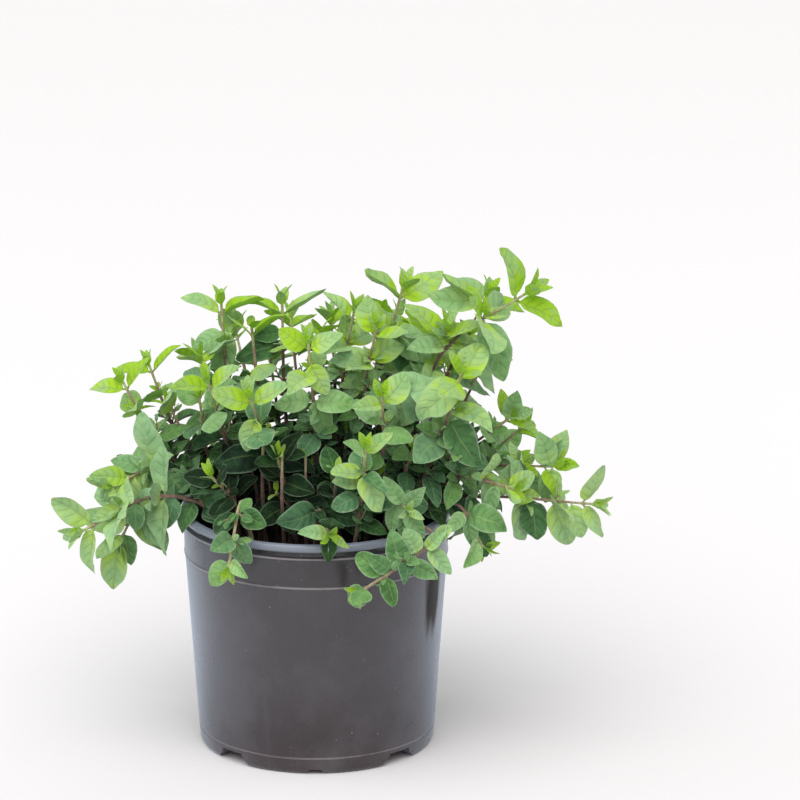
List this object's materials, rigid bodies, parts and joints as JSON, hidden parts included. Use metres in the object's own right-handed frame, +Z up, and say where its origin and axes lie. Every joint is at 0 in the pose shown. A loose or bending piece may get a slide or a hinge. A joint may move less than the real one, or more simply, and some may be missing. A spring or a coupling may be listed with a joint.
{
  "type": "potted oregano plant",
  "caption": "Bushy oregano plant with opposite oval leaves on thin square stems, growing out of soil in a tapered round plastic nursery pot that stands on its foot ring",
  "frame": {"origin": "centre of the flat disc under the pot, on the surface that the pot stands on", "axes": "+Z up along the pot's axis, -Y to the front, +X to the viewer's right"},
  "size_m": [0.2717, 0.2114, 0.2568],
  "materials": {
    "pot_plastic": "semi-gloss dark brown-grey injection-moulded plastic with fine scuffs and pale dust specks",
    "potting_soil": "dark crumbly peat compost, matte",
    "foliage": "soft matte leaves with sunken veins, apple green at the tips and darker below, on purplish stems"
  },
  "bodies": {
    "root": {"pot": "pot_plastic", "soil": "potting_soil", "sprig_plume": "foliage", "sprig_plume_back": "foliage", "sprig_right_star": "foliage", "sprig_right_inner": "foliage", "sprig_top_right": "foliage", "sprig_top_bend": "foliage", "sprig_top_centre": "foliage", "sprig_centre_front": "foliage", "sprig_back_centre": "foliage", "sprig_back_left": "foliage", "sprig_left_back": "foliage", "sprig_left_front": "foliage", "sprig_mid_left": "foliage", "sprig_left_high": "foliage", "sprig_left_mid": "foliage", "sprig_left_low": "foliage", "sprig_left_trailing": "foliage", "sprig_left_hang": "foliage", "sprig_left_inner": "foliage", "sprig_droop_left": "foliage", "sprig_inner_left": "foliage", "sprig_inner_centre": "foliage", "sprig_front_centre": "foliage", "sprig_front_stem": "foliage", "sprig_front_up": "foliage", "sprig_front_right": "foliage", "sprig_trail_right": "foliage", "sprig_inner_right": "foliage", "sprig_right_mid": "foliage", "sprig_right_low": "foliage", "sprig_right_droop": "foliage", "sprig_right_far": "foliage", "sprig_right_up": "foliage", "sprig_right_high": "foliage", "sprig_back_a": "foliage", "sprig_back_b": "foliage", "sprig_back_c": "foliage", "sprig_back_d": "foliage", "sprig_back_e": "foliage", "sprig_back_f": "foliage", "sprig_back_g": "foliage", "sprig_back_h": "foliage", "sprig_back_i": "foliage", "sprig_back_j": "foliage", "sprig_back_k": "foliage", "sprig_back_l": "foliage"}
  },
  "joints": []
}
